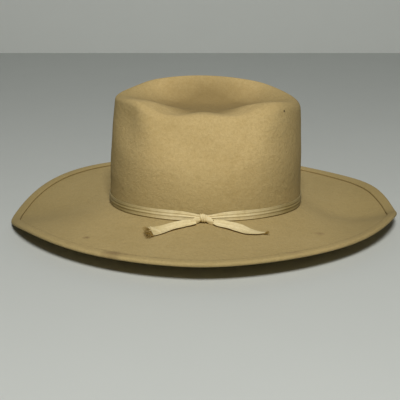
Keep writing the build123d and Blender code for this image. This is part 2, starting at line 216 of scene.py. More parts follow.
def shoulder_height(turn, bend):
    """Height on the rounded shoulder; bend 0 is the crest, pi/2 the wall."""
    return crest_height(turn) - shoulder_drop(turn) * (1.0 - np.cos(bend))


def crown_top(turn, reach):
    """Point on top of the crown; reach 0 is the middle, 1 the crest of the dent."""
    crest = crest_height(turn)
    rim = crown_wall(turn, crest)
    n = SOFT_DENT + (STEEP_DENT - SOFT_DENT) * smooth(-0.2, 0.7, np.sin(turn))
    rise = reach ** n * (n + 1.0 - n * reach)
    x = CROWN_CENTRE_X + (rim[..., 0] - CROWN_CENTRE_X) * reach
    y = rim[..., 1] * reach
    uneven = ripple(5, x * 40.0, y * 40.0) * reach * (1.0 - reach ** 6)
    z = FLOOR_HEIGHT + (crest - FLOOR_HEIGHT) * rise + 0.9 * MM * uneven
    return points(x, y, z)


def brim_edge(turn):
    c, s = np.cos(turn), np.sin(turn)
    power = 2.0 / BRIM_FULLNESS
    x = HAT[0] / 2.0 * np.abs(c) ** power * np.sign(c)
    y = HAT[1] / 2.0 * np.abs(s) ** power * np.sign(s)
    z = BRIM_EDGE_HEIGHT - SIDE_SETTLE * s ** 4
    z = z - FRONT_DIP * hump(turn, 180, 24) - BACK_DIP * hump(turn, 0, 14)
    for wave_turn, rise in EDGE_WAVES:
        z = z + rise * MM * hump(turn, wave_turn, 22)
    z = z + 0.7 * MM * ripple(11, turn) * (1.0 - hump(turn, 180, 14) - hump(turn, 0, 14))
    return points(x, y, z)


def brim_top(turn, out):
    """Point on top of the brim's lower layer; out 0 is the crown, 1 the edge."""
    inner = crown_wall(turn, break_height(turn))
    outer = brim_edge(turn)
    belly = 3.0 * MM + 10.4 * MM * hump(turn, 0, 38)
    belly = belly + 0.5 * MM * ripple(17, turn) * (1.0 - hump(turn, 0, 30))
    point = inner + (outer - inner) * np.broadcast_to(out, turn.shape)[..., None]
    return point - points(0.0, 0.0, belly * 4.0 * out * (1.0 - out))


def brim_out(turn, distance):
    """The value of out that lies a distance in from the brim edge."""
    span = brim_edge(turn) - crown_wall(turn, break_height(turn))
    return 1.0 - distance / np.hypot(span[..., 0], span[..., 1])


def pushed(surface, turn, along, distance):
    """Move off a surface by distance; positive is away from the head."""
    step = 0.4 * MM if surface is crown_wall else 0.004
    round_it = surface(turn + 0.01, along) - surface(turn - 0.01, along)
    across = surface(turn, along + step) - surface(turn, along - step)
    normal = unit(np.cross(round_it, across))
    if surface is crown_wall:
        outward = points(np.cos(turn), np.sin(turn), 0.0)
    else:
        outward = points(0.0 * turn, 0.0, 1.0)
    facing = np.sign(np.sum(normal * outward, axis=-1, keepdims=True))
    return surface(turn, along) + normal * facing * np.broadcast_to(distance, turn.shape)[..., None]


def inside(turn, lift, inset):
    """Point above the break by lift, and in from the inner face of the felt."""
    return pushed(crown_wall, turn, break_height(turn) + lift, -FELT - inset)


def on_band(turn, lift, out):
    return pushed(crown_wall, turn, break_height(turn) + lift, out)


# ---- mesh helpers ----
def added(name, data):
    """New object in the scene."""
    thing = bpy.data.objects.new(name, data)
    bpy.context.scene.collection.objects.link(thing)
    return thing


def mesh_piece(name, shape, material, body="hat", replaces=None):
    """Piece from (vertices, faces), with its normals facing out."""
    vertices, faces = shape
    mesh = bpy.data.meshes.new(name)
    mesh.from_pydata([tuple(v) for v in vertices], [], faces)
    mesh.validate()
    tidy = bmesh.new()
    tidy.from_mesh(mesh)
    bmesh.ops.recalc_face_normals(tidy, faces=tidy.faces)
    tidy.to_mesh(mesh)
    tidy.free()
    mesh.polygons.foreach_set("use_smooth", [True] * len(mesh.polygons))
    mesh.materials.append(material)
    piece = added(name, mesh)
    if replaces:
        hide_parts(replaces)
    if body:
        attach(piece, body)
    return piece


def grid_faces(rows, columns, close_rows=False, close_columns=True, start=0):
    faces = []
    for r in range(rows if close_rows else rows - 1):
        for c in range(columns if close_columns else columns - 1):
            r2, c2 = (r + 1) % rows, (c + 1) % columns
            quad = (r * columns + c, r * columns + c2, r2 * columns + c2, r2 * columns + c)
            faces.append(tuple(start + v for v in quad))
    return faces


def close_ends(vertices, faces, rings, columns, middles):
    """Fans of triangles from two middle points to the first and last ring."""
    for ring, middle, order in zip((0, rings - 1), middles, (1, -1)):
        vertices.append(middle)
        for c in range(columns):
            edge = (ring * columns + c, ring * columns + (c + 1) % columns)
            faces.append((len(vertices) - 1,) + edge[::order])


def rows_closed_round(rows):
    """Vertices and faces of a skin of closed rings, with a middle point on each end."""
    rings = np.array(rows)
    count, columns = rings.shape[:2]
    vertices = list(rings.reshape(-1, 3))
    faces = grid_faces(count, columns)
    close_ends(vertices, faces, count, columns, (rings[0].mean(axis=0), rings[-1].mean(axis=0)))
    return vertices, faces


def strip_with_thickness(front, back, close_columns=False):
    """Closed solid sheet from two grids of points; rows are closed into a loop."""
    loop = np.concatenate([front, back[::-1]], axis=0)
    rows, columns = loop.shape[:2]
    vertices = list(loop.reshape(-1, 3))
    faces = grid_faces(rows, columns, close_rows=True, close_columns=close_columns)
    if not close_columns:
        half = rows // 2
        for column in (0, columns - 1):
            for r in range(half - 1):
                a, b = r * columns + column, (r + 1) * columns + column
                c, d = (rows - 2 - r) * columns + column, (rows - 1 - r) * columns + column
                faces.append((a, b, c, d))
    return vertices, faces


def tube(path, radius, sides=8, closed=False, twist=0.0, ridges=0.0):
    """Thread or cord along a path; ridges raises a spiral of two strands on it."""
    path = np.asarray(path, dtype=float)
    count = len(path)
    if closed:
        along = np.roll(path, -1, axis=0) - np.roll(path, 1, axis=0)
    else:
        along = np.gradient(path, axis=0)
    along = unit(along)
    helper = np.where(np.abs(along[:, 2:3]) > 0.9, [[1.0, 0.0, 0.0]], [[0.0, 0.0, 1.0]])
    side = unit(np.cross(along, helper))
    lift = np.cross(side, along)
    radii = np.broadcast_to(radius, (count,))
    vertices = []
    for i in range(count):
        for k in range(sides):
            angle = tau * k / sides
            reach = radii[i] * (1.0 + ridges * cos(2.0 * (angle - twist * i)))
            vertices.append(path[i] + reach * (side[i] * cos(angle) + lift[i] * sin(angle)))
    faces = grid_faces(count, sides, close_rows=closed)
    if not closed:
        close_ends(vertices, faces, count, sides, (path[0], path[-1]))
    return vertices, faces


def gather(parts):
    """Join several (vertices, faces) into one."""
    vertices, faces = [], []
    for more_vertices, more_faces in parts:
        start = len(vertices)
        vertices += list(more_vertices)
        faces += [tuple(start + v for v in face) for face in more_faces]
    return vertices, faces


def stitch(start, finish, outward, radius):
    """One thread stitch that dips into the cloth at both ends."""
    path, radii = [], []
    for t in shares(9):
        arch = sin(pi * t)
        path.append(start + (finish - start) * t + outward * radius * (1.1 * arch - 0.7))
        radii.append(radius * (0.55 + 0.45 * arch ** 0.5))
    return tube(path, radii, twist=0.5, ridges=0.08)


def add_run_map(piece, values):
    """UV map 'run' from per-vertex (along, across) values."""
    layer = piece.data.uv_layers.new(name="run")
    for loop in piece.data.loops:
        layer.data[loop.index].uv = values[loop.vertex_index]


# ---- materials ----
class Paint:
    """A node material, built up in short steps."""

    def __init__(self, name):
        self.material = bpy.data.materials.new(name)
        self.material.use_nodes = True
        self.tree = self.material.node_tree
        self.shader = self.tree.nodes["Principled BSDF"]
        self.place = self.add("ShaderNodeTexCoord").outputs["Object"]

    def add(self, kind, values=None, **settings):
        node = self.tree.nodes.new(kind)
        for key, value in settings.items():
            setattr(node, key, value)
        for key, value in (values or {}).items():
            self.feed(node.inputs[key], value)
        return node

    def feed(self, socket, value):
        if isinstance(value, bpy.types.NodeSocket):
            self.tree.links.new(value, socket)
        else:
            socket.default_value = value

    def set(self, **values):
        for key, value in values.items():
            self.feed(self.shader.inputs[key.replace("_", " ")], value)

    def stretched(self, scale):
        mapping = self.add("ShaderNodeMapping", {"Vector": self.place, "Scale": scale})
        return mapping.outputs["Vector"]

    def noise(self, scale, detail=3.0, rough=0.55, where=None, distortion=0.0):
        values = {"Scale": scale, "Detail": detail, "Roughness": rough, "Distortion": distortion}
        values["Vector"] = where or self.place
        return self.add("ShaderNodeTexNoise", values).outputs["Fac"]

    def wave(self, scale, where=None, distortion=0.0, direction="X"):
        values = {"Vector": where or self.place, "Scale": scale, "Distortion": distortion}
        node = self.add("ShaderNodeTexWave", values, bands_direction=direction)
        return node.outputs["Fac"]

    def remap(self, value, low, high, to_low=0.0, to_high=1.0):
        values = {"Value": value, "From Min": low, "From Max": high}
        values.update({"To Min": to_low, "To Max": to_high})
        return self.add("ShaderNodeMapRange", values, clamp=True).outputs["Result"]

    def math(self, operation, a, b=0.5):
        return self.add("ShaderNodeMath", {0: a, 1: b}, operation=operation).outputs[0]

    def mix(self, factor, a, b):
        node = self.add("ShaderNodeMix", data_type="RGBA")
        self.feed(node.inputs["Factor"], factor)
        for socket, colour in ((6, a), (7, b)):
            self.feed(node.inputs[socket], (*colour, 1.0) if isinstance(colour, tuple) else colour)
        return node.outputs[2]

    def vector(self, operation, a, b=(0.0, 0.0, 0.0), output="Vector"):
        values = {0: a, 1: b}
        return self.add("ShaderNodeVectorMath", values, operation=operation).outputs[output]

    def near(self, centre, radius, softness):
        """1 at a place, 0 beyond radius, with an uneven outline."""
        wander = self.noise(1.3 / radius, 2.0)
        distance = self.vector("DISTANCE", self.place, centre, "Value")
        ragged = self.math("MULTIPLY", wander, radius * 0.9)
        total = self.math("ADD", distance, ragged)
        return self.remap(total, radius * 1.45, radius * (1.45 - softness))

    def part(self, axis):
        split = self.add("ShaderNodeSeparateXYZ", {"Vector": self.place})
        return split.outputs[axis]

    def bump(self, *layers):
        """Stacked bumps, each (height, strength, distance)."""
        normal = None
        for height, strength, distance in layers:
            values = {"Height": height, "Strength": strength, "Distance": distance}
            if normal is not None:
                values["Normal"] = normal
            normal = self.add("ShaderNodeBump", values).outputs["Normal"]
        self.set(Normal=normal)

    def run(self):
        return self.add("ShaderNodeUVMap", uv_map="run").outputs["UV"]


FELT_LIGHT = (0.66, 0.495, 0.225)
FELT_DARK = (0.54, 0.395, 0.165)
DENT_SHADE_STRETCH = (11.5, 19.0, 17.0)     # one over the reach of the painted shade in the dent, in metres


def felt_material(edge_mark, brim_marks, moth_hole_shade):
    paint = Paint("felt")
    clouds = paint.remap(paint.noise(16.0, 4.0, 0.6), 0.3, 0.7)
    mottle = paint.remap(paint.noise(170.0, 5.0, 0.65), 0.3, 0.72)
    fibres = paint.noise(1400.0, 4.0, 0.75, distortion=0.8)
    colour = paint.mix(clouds, FELT_LIGHT, FELT_DARK)
    colour = paint.mix(paint.math("MULTIPLY", mottle, 0.35), colour, (0.72, 0.57, 0.30))
    colour = paint.mix(paint.remap(fibres, 0.35, 0.7, 0.0, 0.30), colour, (0.36, 0.25, 0.10))
    nap = paint.noise(420.0, 3.0, 0.7, distortion=0.4)
    colour = paint.mix(paint.remap(nap, 0.42, 0.68, 0.0, 0.38), colour, (0.40, 0.28, 0.11))
    # painted shade, mixed with handling soil, darkens the brim and the wall above the band; the floor
    # of the dent gets painted shade
    height = paint.part("Z")
    shade_ramp = paint.math("ADD", height, paint.remap(clouds, 0.0, 1.0, -0.008, 0.008))
    low_wall_shade = paint.remap(shade_ramp, 0.030, 0.085, 0.55, 0.0)
    brim = paint.remap(height, 0.022, 0.028, 0.42, 0.55)
    grey_olive = (0.33, 0.265, 0.115)
    colour = paint.mix(paint.math("MINIMUM", low_wall_shade, brim), colour, grey_olive)
    # painted shade on the floor of the dent, where the crest shades it from the light
    floor = box_middle("lining_tip")
    centre = (floor.x + 0.002, floor.y + 0.004, FLOOR_HEIGHT + 0.002)
    offset = paint.vector("SUBTRACT", paint.place, centre)
    away = paint.vector("LENGTH", paint.vector("MULTIPLY", offset, DENT_SHADE_STRETCH), output="Value")
    away = paint.math("ADD", away, paint.remap(clouds, 0.0, 1.0, -0.12, 0.12))
    dent = paint.remap(away, 0.98, 0.50, 0.0, 0.74)
    colour = paint.mix(dent, colour, (0.25, 0.175, 0.065))
    # painted shade at the front and back of the crown and at the brim ends, where the light falls off
    # round the sides
    reach = paint.math("ABSOLUTE", paint.part("X"))
    on_crown = paint.remap(height, 0.03, 0.05, 0.0, 0.62)
    crown_end_shade = paint.math("MULTIPLY", paint.remap(reach, 0.050, 0.104), on_crown)
    brim_end_shade = paint.remap(reach, 0.110, 0.200, 0.0, 0.5)
    colour = paint.mix(paint.math("MAXIMUM", crown_end_shade, brim_end_shade), colour, (0.25, 0.19, 0.075))
    for place, radius, strength, shade in brim_marks:
        mark = paint.near(place, radius, 0.9)
        colour = paint.mix(paint.math("MULTIPLY", mark, strength), colour, shade)
    grime = paint.near(edge_mark, 0.013, 1.0)
    colour = paint.mix(paint.math("MULTIPLY", grime, 0.7), colour, (0.17, 0.10, 0.045))
    # painted shade of a moth hole: a near-black spot on the felt, with no opening in the mesh
    hole = paint.near(moth_hole_shade, 0.0016, 0.8)
    colour = paint.mix(hole, colour, (0.03, 0.02, 0.01))
    paint.set(Base_Color=colour, Roughness=paint.remap(mottle, 0.0, 1.0, 0.88, 1.0))
    paint.set(Sheen_Weight=0.04, Sheen_Roughness=0.6, Sheen_Tint=(0.95, 0.86, 0.66, 1.0))
    paint.set(Specular_IOR_Level=0.12)
    hairs = paint.noise(900.0, 5.0, 0.7, paint.stretched((1.0, 1.0, 2.4)), 0.6)
    paint.bump((mottle, 0.45, 0.0012), (nap, 0.6, 0.0008), (hairs, 0.6, 0.0006), (fibres, 0.45, 0.0003))
    return paint.material


def ribbon_material(knot):
    """Old silk-faced ribbon: fine cross ribs, long creases, and painted shade growing away from the
    knot.
    """
    paint = Paint("ribbon")
    run = paint.run()
    ribs = paint.wave(700.0, run, 0.3)
    slubs = paint.noise(260.0, 3.0, 0.6)
    clouds = paint.remap(paint.noise(45.0, 3.0), 0.3, 0.7)
    colour = paint.mix(clouds, (0.93, 0.81, 0.50), (0.80, 0.66, 0.34))
    colour = paint.mix(paint.remap(slubs, 0.4, 0.75, 0.0, 0.3), colour, (0.43, 0.31, 0.13))
    # painted shade: the ribbon darkens away from the knot as it turns round the crown from the light
    away = paint.vector("DISTANCE", paint.place, knot, "Value")
    shade_ramp = paint.remap(away, 0.03, 0.095, 0.0, 0.85)
    colour = paint.mix(shade_ramp, colour, (0.25, 0.19, 0.055))
    colour = paint.mix(paint.remap(ribs, 0.0, 0.4, 0.18, 0.0), colour, (0.40, 0.29, 0.12))
    paint.set(Base_Color=colour, Roughness=paint.remap(clouds, 0.0, 1.0, 0.42, 0.55))
    paint.set(Sheen_Weight=0.03, Specular_IOR_Level=0.35, Anisotropic=0.4)
    paint.bump((slubs, 0.2, 0.0004), (ribs, 0.3, 0.00012))
    return paint.material


def thread_material(name, light, dark):
    paint = Paint(name)
    strands = paint.noise(2600.0, 3.0, 0.6, paint.stretched((1.0, 1.0, 0.4)))
    clouds = paint.noise(120.0, 2.0)
    colour = paint.mix(paint.remap(strands, 0.3, 0.7), light, dark)
    colour = paint.mix(paint.remap(clouds, 0.45, 0.8, 0.0, 0.5), colour, dark)
    paint.set(Base_Color=colour, Roughness=0.85, Specular_IOR_Level=0.2)
    paint.bump((strands, 0.5, 0.0002))
    return paint.material


def leather_material():
    """Tan sweatband leather, darkened and polished where it has been worn."""
    paint = Paint("sweatband_leather")
    values = {"Vector": paint.place, "Scale": 900.0}
    cells = paint.add("ShaderNodeTexVoronoi", values, feature="SMOOTH_F1").outputs["Distance"]
    grain = paint.noise(420.0, 6.0, 0.65, distortion=0.5)
    clouds = paint.remap(paint.noise(22.0, 4.0, 0.6), 0.35, 0.7)
    colour = paint.mix(clouds, (0.34, 0.175, 0.075), (0.21, 0.10, 0.042))
    colour = paint.mix(paint.remap(grain, 0.45, 0.75, 0.0, 0.5), colour, (0.13, 0.06, 0.025))
    middle = box_middle("sweatband").z
    from_middle = paint.math("ABSOLUTE", paint.math("SUBTRACT", paint.part("Z"), middle))
    worn = paint.remap(from_middle, 0.0, 0.024)
    colour = paint.mix(paint.math("MULTIPLY", worn, 0.35), colour, (0.42, 0.24, 0.12))
    paint.set(Base_Color=colour, Roughness=paint.remap(clouds, 0.0, 1.0, 0.38, 0.6))
    paint.set(Specular_IOR_Level=0.4)
    paint.bump((grain, 0.35, 0.0006), (cells, 0.4, 0.0003))
    return paint.material


def satin_material(name, light, dark):
    paint = Paint(name)
    weave = paint.noise(1500.0, 2.0, 0.5, paint.stretched((1.0, 1.0, 0.15)))
    clouds = paint.remap(paint.noise(30.0, 4.0, 0.6), 0.3, 0.7)
    colour = paint.mix(clouds, light, dark)
    colour = paint.mix(paint.remap(weave, 0.3, 0.7, 0.0, 0.2), colour, dark)
    paint.set(Base_Color=colour, Roughness=0.34, Anisotropic=0.55, Sheen_Weight=0.3)
    paint.bump((paint.noise(90.0, 3.0), 0.2, 0.0012), (weave, 0.3, 0.0001))
    return paint.material


def tape_material():
    paint = Paint("woven_tape")
    warp = paint.wave(420.0, direction="X")
    weft = paint.wave(420.0, direction="Z")
    weave = paint.math("MULTIPLY", warp, weft)
    clouds = paint.noise(60.0, 3.0)
    colour = paint.mix(weave, (0.10, 0.065, 0.03), (0.27, 0.19, 0.11))
    colour = paint.mix(paint.remap(clouds, 0.4, 0.7, 0.0, 0.4), colour, (0.12, 0.08, 0.045))
    paint.set(Base_Color=colour, Roughness=0.85, Sheen_Weight=0.15)
    paint.bump((weave, 0.5, 0.0003))
    return paint.material


def reed_material():
    paint = Paint("reed_plastic")
    clouds = paint.noise(80.0, 3.0)
    colour = paint.mix(paint.remap(clouds, 0.3, 0.7), (0.62, 0.57, 0.46), (0.50, 0.44, 0.32))
    paint.set(Base_Color=colour, Roughness=0.45, Subsurface_Weight=0.05)
    paint.bump((paint.noise(700.0, 2.0), 0.15, 0.0002))
    return paint.material


def paper_material():
    paint = Paint("tag_paper")
    pulp = paint.noise(600.0, 5.0, 0.7)
    aged = paint.noise(70.0, 3.0)
    colour = paint.mix(paint.remap(aged, 0.35, 0.7), (0.72, 0.66, 0.50), (0.55, 0.44, 0.27))
    colour = paint.mix(paint.remap(pulp, 0.5, 0.75, 0.0, 0.25), colour, (0.45, 0.36, 0.22))
    paint.set(Base_Color=colour, Roughness=0.9)
    paint.bump((pulp, 0.25, 0.0002))
    return paint.material


def clear_material():
    """Thin flexible plastic, yellowed a little with age."""
    paint = Paint("clear_plastic")
    haze = paint.remap(paint.noise(35.0, 4.0), 0.35, 0.7)
    scratches = paint.noise(160.0, 6.0, 0.8, paint.stretched((1.0, 7.0, 1.0)))
    colour = paint.mix(haze, (0.86, 0.82, 0.66), (0.72, 0.62, 0.40))
    paint.set(Base_Color=colour, Roughness=paint.remap(scratches, 0.4, 0.7, 0.08, 0.3))
    paint.set(Alpha=paint.remap(haze, 0.0, 1.0, 0.22, 0.4), IOR=1.46)
    paint.bump((scratches, 0.1, 0.0003), (haze, 0.2, 0.001))
    return paint.material


# ---- felt ----
def felt_rows(turn):
    """Rings of points from the middle of the crown top, out, round the edge and back in."""
    foot = break_height(turn)
    shoulder_end = 0.5 * pi
    top = np.concatenate([np.linspace(0.04, 0.6, 12), np.linspace(0.63, 1.0, 22)])
    bends = np.linspace(0.0, shoulder_end, 13)[1:]
    wall_top = shoulder_height(turn, shoulder_end)
    fillet = 0.9 * MM
    rows = [crown_top(turn, r) for r in top]
    rows += [crown_wall(turn, shoulder_height(turn, b)) for b in bends]
    for t in shares(45)[1:]:
        rows.append(crown_wall(turn, wall_top + (foot + fillet - wall_top) * t))
    corner = crown_wall(turn, foot)
    outward = level_unit(brim_edge(turn) - corner)
    for a in (25, 50, 70):
        step = outward * fillet * (1.0 - cos(radians(a)))
        rows.append(corner + step + points(0.0 * turn, 0.0, fillet * (1.0 - sin(radians(a)))))
    half = (FELT + WELT_THICKNESS) / 2.0
    crevice_end = brim_out(turn, half + 0.4 * MM)
    for t in np.linspace(0.012, 1.0, 46):
        rows.append(brim_top(turn, crevice_end * t))
    # the fold: underside of the flap, its raw edge, its top, and round the outside
    frayed = 0.25 * MM * ripple(23, turn * 9.0) + 0.15 * MM * ripple(29, turn * 31.0)
    lift = WELT_CREVICE * (1.0 + 0.35 * ripple(31, turn * 3.0))
    for t in shares(7):
        row = brim_top(turn, brim_out(turn, half + 0.4 * MM + (WELT_WIDTH - half) * t + frayed * t))
        row[..., 2] += 0.15 * MM + (lift - 0.15 * MM) * t
        rows.append(row)
    thick = WELT_THICKNESS - WELT_CREVICE
    for a in np.linspace(-60.0, 60.0, 5):
        swell = 0.35 * MM * cos(radians(a))
        row = brim_top(turn, brim_out(turn, WELT_WIDTH + 0.4 * MM + frayed + swell))
        row[..., 2] += lift + thick * (0.5 + 0.5 * sin(radians(a)) / sin(radians(60.0)))
        rows.append(row)
    for t in shares(9)[1:-1]:
        row = brim_top(turn, brim_out(turn, WELT_WIDTH + (half - WELT_WIDTH) * t))
        row[..., 2] += WELT_THICKNESS + 0.25 * MM * sin(pi * t)
        rows.append(row)
    centre = brim_top(turn, brim_out(turn, half))
    centre[..., 2] += WELT_THICKNESS - half
    rim_out = level_unit(brim_edge(turn) - centre)
    for a in np.linspace(90.0, -90.0, 11):
        step = rim_out * half * cos(radians(a))
        rows.append(centre + step + points(0.0 * turn, 0.0, half * sin(radians(a))))
    for t in np.linspace(0.97, 0.04, 44):
        rows.append(pushed(brim_top, turn, brim_out(turn, half) * t, -FELT))
    rows.append(pushed(crown_wall, turn, foot + 1.4 * MM, -FELT))
    for t in np.linspace(0.03, 0.97, 24):
        rows.append(pushed(crown_wall, turn, foot + (wall_top - 5.0 * MM - foot) * t, -FELT))
    for r in (0.88, 0.83, 0.78, 0.72, 0.66, 0.58, 0.5, 0.4, 0.3, 0.2, 0.1):
        rows.append(pushed(crown_top, turn, r, -FELT))
    for row in rows:
        row[..., 2] = np.maximum(row[..., 2], 0.0)
    return rows


# Each mark: turn in degrees, out along the brim, radius, strength, colour.
BRIM_MARKS = (
    (-132.5, 0.68, 0.0045, 0.7, (0.20, 0.13, 0.06)),
    (-43.0, 0.53, 0.006, 0.5, (0.24, 0.15, 0.07)),
    (-58.0, 0.86, 0.0022, 0.95, (0.05, 0.03, 0.015)),
    (-112.0, 0.90, 0.008, 0.35, (0.22, 0.14, 0.06)),
    (-64.0, 0.92, 0.009, 0.30, (0.28, 0.15, 0.09)),
)


def felt_place(surface, turn_deg, along):
    return tuple(surface(np.array([radians(turn_deg)]), np.array([along]))[0])


def felt_body():
    turn = whole_round(TURNS)
    marks = [(felt_place(brim_top, *mark[:2]),) + mark[2:] for mark in BRIM_MARKS]
    edge = felt_place(brim_top, -116.5, 0.93)
    # place of the painted moth-hole shade
    hole = felt_place(crown_wall, -38, 128.0 * MM)
    material = felt_material(edge, marks, hole)
    shape = rows_closed_round(felt_rows(turn))
    return mesh_piece("felt_shell", shape, material, replaces="felt_body")


# ---- ribbon ----
KNOT = box_middle("ribbon_knot")
RIBBON_LOW = 1.0 * MM
RIBBON_WIDTH = 10.2 * MM
BAND_STEPS = 540


def pleat(across):
    """Outward height of the ribbon's face: two long folds and rolled edges."""
    first = smooth(0.36, 0.42, across) * (1.0 - smooth(0.42, 0.62, across))
    second = smooth(0.68, 0.73, across) * (1.0 - smooth(0.73, 0.95, across))
    edges = bell(across - 0.03, 0.05) + bell(across - 0.97, 0.05)
    return 0.70 * MM * first + 0.50 * MM * second + 0.22 * MM * edges


def band_face(turn, across, depth):
    """Point on the band; depth 0 is its back on the felt, 1 its front."""
    from_knot = turn_from(turn, -pi / 2.0 - 0.01)
    pulled = bell(from_knot, radians(8.5))
    centre = RIBBON_LOW + 0.5 * RIBBON_WIDTH - 0.6 * MM * pulled
    centre = centre + 0.25 * MM * ripple(41, turn * 3.0)
    half = 0.5 * RIBBON_WIDTH * (1.0 - 0.50 * pulled) + 0.12 * MM * ripple(43, turn * 5.0)
    half = half - 0.3 * MM
    lift = centre + (across - 0.5) * 2.0 * half
    bulge = 0.25 * MM * ripple(47, turn * 4.0, across * 0.4) + 0.2 * MM
    face = 0.55 * MM + pleat(across + 0.03 * ripple(53, turn * 2.0)) + bulge * (1.0 - pulled)
    out = 0.15 * MM + 1.3 * MM * pulled + depth * face
    return on_band(turn, lift, out)


def ribbon_band(material):
    turn = whole_round(BAND_STEPS)
    across = shares(19)
    front = np.array([band_face(turn, a, 1.0) for a in across])
    back = np.array([band_face(turn, a, 0.0) for a in across])
    shape = strip_with_thickness(front, back, close_columns=True)
    band = mesh_piece("ribbon_band_cloth", shape, material, replaces="ribbon_band")
    along = turn * (CROWN_HALF_X + CROWN_HALF_Y) / 2.0
    runs = [(along[i], row) for row in list(across) * 2 for i in range(BAND_STEPS)]
    add_run_map(band, runs)


def knot_wrap(tilt, half_width, size, folds, shift):
    """Ribbon wrapped once round the knot: a closed barrel with lengthwise folds."""
    depth, height = size
    rows = []
    for t in np.linspace(-1.0, 1.0, 25):
        pinched = np.sqrt(max(0.0, 1.0 - abs(t) ** 3.2))
        angle = whole_round(72)
        crease = 1.0 + 0.10 * np.sin(folds * t * pi + 0.7 * np.sin(angle)) * pinched
        crease = crease + 0.03 * np.sin(3.0 * angle + 2.0 * t)
        y = depth * (0.35 + 0.65 * pinched) * crease * np.cos(angle)
        z = height * (0.35 + 0.65 * pinched) * crease * np.sin(angle)
        x = half_width * t + 0.25 * z * tilt + 0.3 * MM * np.sin(2.0 * angle)
        rows.append(points(KNOT.x + shift[0] + x, KNOT.y + shift[1] + y, KNOT.z + shift[2] + z))
    return rows_closed_round(rows)


def knot_loop(side):
    """Short puffed fold of ribbon on one side of the knot."""
    rows = []
    length = 9.5 * MM if side < 0 else 8.0 * MM
    for t in shares(17):
        angle = whole_round(40)
        puff = 0.30 + 0.70 * sin(pi * min(1.0, 0.12 + t * 0.8)) ** 0.8
        wide = 3.6 * MM * puff
        deep = 1.5 * MM * puff
        crease = 1.0 + 0.14 * np.sin(4.0 * angle + t * 3.0)
        reach = side * (2.4 * MM + length * t)
        x = KNOT.x + reach
        y = KNOT.y - 0.4 * MM - 1.6 * MM * t + deep * crease * np.cos(angle)
        z = KNOT.z - 1.2 * MM - 3.0 * MM * t ** 1.3 + wide * np.sin(angle)
        rows.append(points(x, y, z))
    return rows_closed_round(rows)


def ribbon_knot(material):
    main = knot_wrap(-0.5, 3.3 * MM, (2.5 * MM, 4.2 * MM), 3.0, (0.0, 0.0, 0.0))
    under = knot_wrap(0.7, 2.2 * MM, (2.0 * MM, 3.4 * MM), 2.0, (2.6 * MM, 0.6 * MM, -0.6 * MM))
    shape = gather((main, under, knot_loop(-1), knot_loop(1)))
    knot = mesh_piece("ribbon_knot_cloth", shape, material, replaces="ribbon_knot")
    add_run_map(knot, [(v[0], (v[2] - KNOT.z) / RIBBON_WIDTH) for v in shape[0]])


# Each tail station: turn in degrees, out along the brim, lift above it, tilt in degrees, width.
FRONT_TAIL = (
    (-95.2, 0.062, 3.4, 30, 4.8),
    (-98.5, 0.079, 3.0, 24, 8.2),
    (-101.5, 0.096, 2.5, 20, 9.6),
    (-104.5, 0.140, 2.6, 20, 9.6),
    (-107.5, 0.195, 2.4, 23, 9.6),
    (-111.0, 0.290, 2.8, 27, 10.2),
    (-113.4, 0.350, 3.2, 30, 11.0),
)
BACK_TAIL = (
    (-85.8, 0.062, 3.4, 30, 4.8),
    (-83.4, 0.078, 3.0, 24, 8.6),
    (-80.8, 0.096, 2.4, 18, 10.2),
    (-77.0, 0.146, 2.5, 20, 10.6),
    (-74.0, 0.205, 2.5, 23, 10.2),
    (-71.0, 0.268, 2.0, 20, 9.4),
    (-67.2, 0.312, 1.3, 12, 6.2),
    (-63.9, 0.336, 1.0, 2, 1.8),
)


def spread_stations(stations, count):
    """Smooth in-between values of the stations."""
    table = np.array(stations, dtype=float)
    knots = np.arange(len(table))
    fine = np.linspace(0.0, len(table) - 1.0, count)
    slopes = np.gradient(table, axis=0)
    i = np.clip(fine.astype(int), 0, len(table) - 2)
    t = (fine - knots[i])[:, None]
    a, b, da, db = table[i], table[i + 1], slopes[i], slopes[i + 1]
    h = (2 * t ** 3 - 3 * t ** 2 + 1) * a + (t ** 3 - 2 * t ** 2 + t) * da
    return h + (3 * t ** 2 - 2 * t ** 3) * b + (t ** 3 - t ** 2) * db


def tail_frame(stations, count):
    """Centre line of a tail with its width and thickness directions."""
    turn, out, lift, tilt, width = spread_stations(stations, count).T
    turn, tilt = np.radians(turn), np.radians(tilt)
    centre = brim_top(turn, out) + points(0.0 * turn, 0.0, lift * MM)
    along = level_unit(np.gradient(centre, axis=0))
    side = np.cross([0.0, 0.0, 1.0], along)
    side *= np.where(side[:, 1:2] < 0.0, -1.0, 1.0)
    up = np.array([0.0, 0.0, 1.0])
    wide = side * np.cos(tilt)[:, None] + up * np.sin(tilt)[:, None]
    thick = up * np.cos(tilt)[:, None] - side * np.sin(tilt)[:, None]
    return centre, along, wide, thick, width * MM


